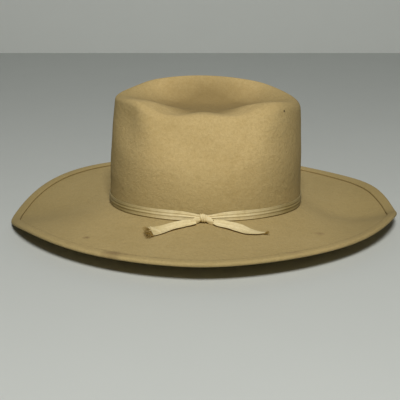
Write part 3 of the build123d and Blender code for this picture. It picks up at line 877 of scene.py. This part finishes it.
def tail_mesh(name, stations, body, seed, skew, material):
    """One ribbon tail; skew cuts its end on the slant."""
    count, columns = 64, 17
    centre, along, wide, thick, width = tail_frame(stations, count)
    across = np.linspace(-0.5, 0.5, columns)
    steps = shares(count)
    front = np.zeros((count, columns, 3))
    back = np.zeros((count, columns, 3))
    rough_end = np.random.default_rng(seed).uniform(-0.7, 0.7, columns) * MM
    for j, a in enumerate(across):
        curl = 0.9 * MM * (abs(a) * 2.0) ** 2.5 * smooth(0.1, 0.5, steps)
        crease = 0.55 * MM * bell(a - 0.08 - 0.10 * np.sin(steps * 5.0 + seed), 0.07)
        crease = crease - 0.35 * MM * bell(a + 0.22, 0.09)
        wavy = 0.35 * MM * ripple(seed, steps * 5.0, np.full(count, a * 2.0))
        rise = (curl + crease + wavy) * smooth(0.0, 0.15, steps)
        sideways = 0.35 * MM * ripple(seed + 1, steps * 4.0)
        stretch = smooth(0.85, 1.0, steps) * (skew * a * MM + rough_end[j])
        base = centre + wide * (a * width + sideways)[:, None] + along * stretch[:, None]
        front[:, j] = base + thick * (0.45 * MM + rise)[:, None]
        back[:, j] = base + thick * rise[:, None]
    shape = strip_with_thickness(front, back)
    replaced = "ribbon_tail_front" if body == "front_tail" else "ribbon_tail_back"
    tail = mesh_piece(name, shape, material, body=None, replaces=replaced)
    length = np.linalg.norm(centre[-1] - centre[0])
    runs = []
    for i in range(2 * count):
        step = i if i < count else 2 * count - 1 - i
        runs += [(steps[step] * length, a + 0.5) for a in across]
    add_run_map(tail, runs)
    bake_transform(tail)
    return centre, along, wide, thick, width


def frayed_end(name, frame_values, body, seed, count, reach, material):
    """Loose warp threads beyond the end of a tail."""
    centre, along, wide, thick, width = (v[-1] for v in frame_values)
    draw = np.random.default_rng(seed)
    parts = []
    for _ in range(count):
        start = centre + wide * draw.uniform(-0.5, 0.5) * max(width, 1.5 * MM) - along * 1.5 * MM
        start = start + thick * draw.uniform(0.0, 0.5) * MM
        spread = draw.normal(0.0, 0.35)
        droop = draw.uniform(-0.15, 0.55)
        length = draw.uniform(0.45, 1.0) * reach
        path = []
        for t in shares(8):
            bend = wide * (spread * t ** 1.5 + 0.12 * sin(9.0 * t + spread * 9.0)) * length
            rise = thick * (droop * t - 0.35 * droop * t ** 3) * length
            path.append(start + along * length * t + bend + rise)
        radii = np.linspace(0.17, 0.07, 8) * MM
        parts.append(tube(path, radii, sides=5))
    mesh_piece(name, gather(parts), material, body=body)


def folded_tip(frame_values, material):
    """Corner of the front tail's end, folded back over it as a soft triangle."""
    centre, along, wide, thick, width = (v[-8] for v in frame_values)
    front, back = [], []
    for t in shares(17):
        row_front, row_back = [], []
        for a in shares(17):
            narrowing = 1.0 - 0.85 * t
            lift = 0.75 * MM + 1.7 * MM * (a ** 2) * narrowing + 0.25 * MM * sin(6.0 * a + 3.0 * t)
            point = centre + along * (4.5 - 9.5 * t) * MM
            point = point + wide * width * (-0.42 + 0.98 * a * narrowing + 0.10 * t) + thick * lift
            row_front.append(point + thick * 0.35 * MM)
            row_back.append(point)
        front.append(row_front)
        back.append(row_back)
    shape = strip_with_thickness(front, back)
    piece = mesh_piece("ribbon_folded_tip", shape, material, body="front_tail")
    add_run_map(piece, [(v[0], 0.5) for v in shape[0]])


def ribbon():
    cloth = ribbon_material(tuple(KNOT))
    fray = thread_material("frayed_threads", (0.44, 0.29, 0.07), (0.20, 0.12, 0.025))
    pale = thread_material("pale_threads", (0.55, 0.42, 0.20), (0.38, 0.27, 0.11))
    ribbon_band(cloth)
    ribbon_knot(cloth)
    front = tail_mesh("front_tail_cloth", FRONT_TAIL, "front_tail", 61, 4.0, cloth)
    back = tail_mesh("back_tail_cloth", BACK_TAIL, "back_tail", 67, 1.0, cloth)
    folded_tip(front, cloth)
    frayed_end("front_tail_fray", front, "front_tail", 71, 110, 9.5 * MM, fray)
    frayed_end("front_tail_fray_pale", front, "front_tail", 73, 40, 7.0 * MM, pale)
    frayed_end("back_tail_fray", back, "back_tail", 79, 36, 6.0 * MM, fray)


# ---- threads ----
WELT_STITCHES = 120
WELT_STITCH_LINE = 7.4 * MM    # in from the brim edge
LEATHER_STITCHES = 84
LEATHER_FACE = 3.4 * MM        # felt to the worn side of the leather
SEAM_STITCH = 3.1 * MM         # rise of each stitch of the back seam


def welt_stitches():
    """Short stitches under the brim edge."""
    parts = []
    half = radians(0.75)
    for middle in whole_round(WELT_STITCHES):
        turn = np.array([middle - half, middle + half])
        line = brim_out(turn, WELT_STITCH_LINE)
        ends = pushed(brim_top, turn, line, -FELT + 0.1 * MM)
        if ends[:, 2].min() > 0.6 * MM:
            outward = unit(pushed(brim_top, turn, line, -FELT - MM)[0] - ends[0])
            parts.append(stitch(*ends, outward, 0.32 * MM))
    material = thread_material("welt_thread", (0.52, 0.40, 0.20), (0.36, 0.26, 0.12))
    stitches = gather(parts)
    mesh_piece("welt_thread_stitches", stitches, material, replaces="welt_stitching")


def stitches_on(place, spans, radius):
    """Stitches between pairs of (turn, lift), on a surface place(turn, lift, depth)."""
    def at(spot, depth=0.0):
        return place(np.array([spot[0]]), spot[1], depth)[0]

    parts = []
    for first, second in spans:
        a = at(first)
        parts.append(stitch(a, at(second), unit(at(first, 1.0 * MM) - a), radius))
    return gather(parts)


def on_leather(turn, lift, depth):
    return inside(turn, lift, LEATHER_FACE + leather_wave(turn, lift) + depth)


def threads():
    waxed = thread_material("waxed_thread", (0.66, 0.56, 0.38), (0.48, 0.38, 0.22))
    tan = thread_material("tack_thread", (0.46, 0.35, 0.17), (0.33, 0.24, 0.10))
    spans = []
    half = pi / LEATHER_STITCHES * 0.62
    for i in range(LEATHER_STITCHES):
        turn = tau * (i + 0.5) / LEATHER_STITCHES
        spans.append(((turn - half, 3.4 * MM), (turn + half, 4.9 * MM)))
        spans.append(((turn + half, 4.9 * MM), (turn + 1.15 * half, 3.4 * MM)))
    row = stitches_on(on_leather, spans, 0.3 * MM)
    mesh_piece("sweatband_thread_row", row, waxed, replaces="sweatband_stitching")
    spans = []
    for i in range(11):
        low, side = 9.0 * MM + SEAM_STITCH * i, radians(1.6) * (-1) ** i
        spans.append(((side, low), (-side, low + SEAM_STITCH)))
    zigzag = stitches_on(on_leather, spans, 0.3 * MM)
    mesh_piece("seam_zigzag", zigzag, waxed, replaces="sweatband_seam_stitches")
    spans = [((radians(t), 9.2 * MM), (radians(t + 0.5), 10.6 * MM)) for t in (8.0, 92.0, 172.0)]
    tacks = stitches_on(lambda t, z, d: on_band(t, z, 1.0 * MM + d), spans, 0.3 * MM)
    mesh_piece("band_tacks", tacks, tan, replaces="ribbon_tacks")


# ---- sweatband ----
def leather_wave(turn, lift):
    """Gentle waves in the leather, growing towards its free top edge."""
    free = smooth(12.0 * MM, 46.0 * MM, lift)
    return (0.8 * MM * ripple(83, turn * 2.0, lift * 30.0) + 0.5 * MM) * free


def sweatband():
    turn = np.linspace(radians(0.35), tau - radians(0.35), 320)
    lifts = np.linspace(1.0 * MM, 46.0 * MM, 40)
    front, back = [], []
    for lift in lifts:
        top = smooth(44.0 * MM, 46.0 * MM, lift)
        edge = 0.15 * MM * top + 0.15 * MM * (1.0 - smooth(1.0 * MM, 2.0 * MM, lift))
        scallop = 0.3 * MM * ripple(89, turn * 3.0) * top
        wave = leather_wave(turn, lift)
        front.append(inside(turn, lift + scallop, LEATHER_FACE - edge + wave))
        back.append(inside(turn, lift + scallop, LEATHER_FACE - 0.9 * MM + edge + wave))
    shape = strip_with_thickness(front, back)
    mesh_piece("sweatband_leather", shape, leather_material(), replaces="sweatband")


def upright_patch(name, node, place, material):
    """Thin patch that follows the wall behind the leather."""
    turn, lifts, inset, thickness, bend = place
    half = box_size(node)[1] / 2.0 / CROWN_HALF_Y
    turns = np.linspace(turn - half, turn + half, 15)
    front, back = [], []
    for lift in np.linspace(*lifts, 21):
        inward = inset + bend * ripple(97, turns * 6.0, lift * 90.0)
        front.append(inside(turns, lift, inward + thickness))
        back.append(inside(turns, lift, inward))
    shape = strip_with_thickness(front, back)
    mesh_piece(name, shape, material, replaces=node)


def bow_loop(middle, side, length, height, droop):
    """One flattened loop of the little bow."""
    rows = []
    for t in shares(21):
        angle = whole_round(28)
        open_up = sin(pi * min(1.0, 0.1 + 0.82 * t)) ** 0.7
        pleats = 1.0 + 0.12 * np.sin(5.0 * angle + 2.0 * t) * (1.0 - 0.6 * t)
        x = middle.x - 0.9 * MM * open_up * pleats * np.cos(angle)
        y = middle.y + side * (0.8 * MM + length * t)
        z = middle.z - droop * t ** 1.5 + height * (0.25 + 0.75 * open_up) * pleats * np.sin(angle)
        rows.append(points(x, y, z))
    return rows_closed_round(rows)


def sweatband_bow():
    middle = box_middle("sweatband_bow")
    loops = [bow_loop(middle, side, 8.6 * MM, 2.9 * MM, 0.5 * MM) for side in (-1, 1)]
    rows = []
    for t in np.linspace(-1.0, 1.0, 13):
        angle = whole_round(28)
        pinched = np.sqrt(max(0.0, 1.0 - abs(t) ** 3))
        crease = 1.0 + 0.08 * np.sin(6.0 * angle)
        x = middle.x + 1.3 * MM * (0.3 + 0.7 * pinched) * crease * np.cos(angle)
        z = middle.z + 2.2 * MM * (0.3 + 0.7 * pinched) * crease * np.sin(angle)
        rows.append(points(x, middle.y + 1.7 * MM * t, z))
    material = satin_material("bow_ribbon", (0.26, 0.155, 0.07), (0.15, 0.085, 0.035))
    shape = gather(loops + [rows_closed_round(rows)])
    mesh_piece("sweatband_bow_cloth", shape, material, replaces="sweatband_bow")


# ---- lining ----
LINING_TOP = 0.78              # where the wall of the lining ends, as a share of the wall


def wall_at(turn, up):
    foot = break_height(turn)
    return foot + (crest_height(turn) - foot) * up


def lining_side(material):
    """Satin wall of the lining with soft upright puckers."""
    turn = whole_round(480)
    front, back = [], []
    for up in np.linspace(0.13, LINING_TOP, 34):
        near_seam = smooth(0.45, LINING_TOP, up)
        pucker = (0.55 * MM * np.sin(turn * 58.0 + 2.0 * np.sin(turn * 7.0)) + 0.5 * MM) * near_seam
        slack = 0.9 * MM * (ripple(101, turn * 3.0, np.full(480, up * 2.0)) + 1.0)
        slack = (slack + pucker) * smooth(0.20, 0.30, up)
        height = wall_at(turn, up)
        front.append(pushed(crown_wall, turn, height, -FELT - 1.1 * MM - slack))
        back.append(pushed(crown_wall, turn, height, -FELT - 0.8 * MM - slack))
    shape = strip_with_thickness(front, back, close_columns=True)
    mesh_piece("lining_wall_cloth", shape, material, replaces="lining_side")


def sheet_under_top(reach, inset, thickness, slack, hem=False):
    """Closed thin sheet that hangs just under the crown top; its hem runs down to the piping."""
    turn = whole_round(300)
    upper, under = [], []
    for r in np.linspace(0.03, reach, 34):
        fold = slack * (ripple(103, turn * 2.0, np.full(300, r * 5.0)) + 1.0) * r
        fold = fold + 0.4 * slack * (np.sin(turn * 46.0) + 1.0) * smooth(0.55, 0.95, r)
        upper.append(pushed(crown_top, turn, r, -FELT - inset - fold))
        under.append(pushed(crown_top, turn, r, -FELT - inset - fold - thickness))
    if hem:
        edge = pushed(crown_wall, turn, wall_at(turn, LINING_TOP), -FELT - 1.4 * MM)
        inner_edge = edge - thickness * points(np.cos(turn), np.sin(turn), 0.0)
        start, inner_start = upper[-1], under[-1]
        for t in np.linspace(0.1, 1.0, 9):
            upper.append(start + (edge - start) * t)
            under.append(inner_start + (inner_edge - inner_start) * t)
    return rows_closed_round(upper + under[::-1])


def lining():
    satin = satin_material("lining_satin", (0.70, 0.60, 0.40), (0.58, 0.46, 0.27))
    lining_side(satin)
    tip = sheet_under_top(0.88, 0.7 * MM, 0.3 * MM, 0.5 * MM, hem=True)
    mesh_piece("lining_tip_cloth", tip, satin, replaces="lining_tip")
    patch = sheet_under_top(0.64, 2.3 * MM, 0.25 * MM, 0.1 * MM)
    mesh_piece("tip_clear_sheet", patch, clear_material(), replaces="tip_protector")
    turn = whole_round(900)
    path = pushed(crown_wall, turn, wall_at(turn, LINING_TOP), -FELT - 2.2 * MM)
    cord = tube(path, 0.75 * MM, sides=10, closed=True, twist=tau / 9.0, ridges=0.14)
    piping = satin_material("piping_satin", (0.42, 0.27, 0.12), (0.28, 0.17, 0.07))
    mesh_piece("lining_piping_cord", cord, piping, replaces="lining_piping")


def inner_fittings():
    woven = tape_material()
    sweatband()
    sweatband_bow()
    seam = (0.0, (9.0 * MM, 42.0 * MM), 2.0 * MM, 0.25 * MM, 0.0)
    upright_patch("seam_tape_cloth", "sweatband_seam_tape", seam, woven)
    tag = (radians(24), (10.0 * MM, 25.0 * MM), 1.6 * MM, 0.2 * MM, 0.15 * MM)
    upright_patch("size_tag_paper", "size_tag", tag, paper_material())
    for node, material in (("reed_tape", woven), ("sweatband_reed", reed_material())):
        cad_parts[node].data.materials.clear()
        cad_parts[node].data.materials.append(material)


felt_body()
ribbon()
welt_stitches()
inner_fittings()
threads()
lining()

# ---- stage ----
def plain(name, colour, rough):
    paint = Paint(name)
    clouds = paint.noise(9.0, 3.0)
    paint.set(Base_Color=paint.mix(clouds, colour, tuple(c * 0.97 for c in colour)), Roughness=rough)
    return paint.material


def sheet(name, corners, material):
    mesh = bpy.data.meshes.new(name)
    mesh.from_pydata(corners, [], [(0, 1, 2, 3)])
    mesh.materials.append(material)
    added(name, mesh)


def key_light():
    light = bpy.data.lights.new("key", "AREA")
    light.shape = "RECTANGLE"
    light.size, light.size_y = 0.5, 0.4
    light.energy = 33.0
    light.color = (1.0, 0.98, 0.94)
    lamp = added("key", light)
    lamp.location = (0.05, -1.35, 1.55)
    towards_hat = Vector((0.0, -0.05, 0.07)) - lamp.location
    lamp.rotation_euler = towards_hat.to_track_quat("-Z", "Y").to_euler()


def studio():
    bpy.context.scene.view_settings.view_transform = "Standard"
    pale = plain("pale_table", (0.60, 0.63, 0.61), 0.8)
    back = plain("pale_backdrop", (0.80, 0.83, 0.80), 0.95)
    sheet("floor", [(-3, -3, 0), (3, -3, 0), (3, 1.3, 0), (-3, 1.3, 0)], pale)
    sheet("backdrop", [(-3, 1.3, -0.2), (3, 1.3, -0.2), (3, 1.3, 3), (-3, 1.3, 3)], back)
    world = bpy.data.worlds.new("studio")
    bpy.context.scene.world = world
    world.use_nodes = True
    sky = world.node_tree.nodes["Background"]
    sky.inputs["Color"].default_value = (0.9, 0.95, 1.0, 1.0)
    sky.inputs["Strength"].default_value = 0.035


def camera():
    lens = bpy.data.cameras.new("camera")
    lens.lens = 78.3
    lens.sensor_width = 36.0
    view = added("camera", lens)
    view.location = (-0.004, -0.900, 0.3035)
    view.rotation_euler = (radians(90.0 - 17.44), 0.0, 0.0)
    bpy.context.scene.camera = view


studio()
key_light()
camera()
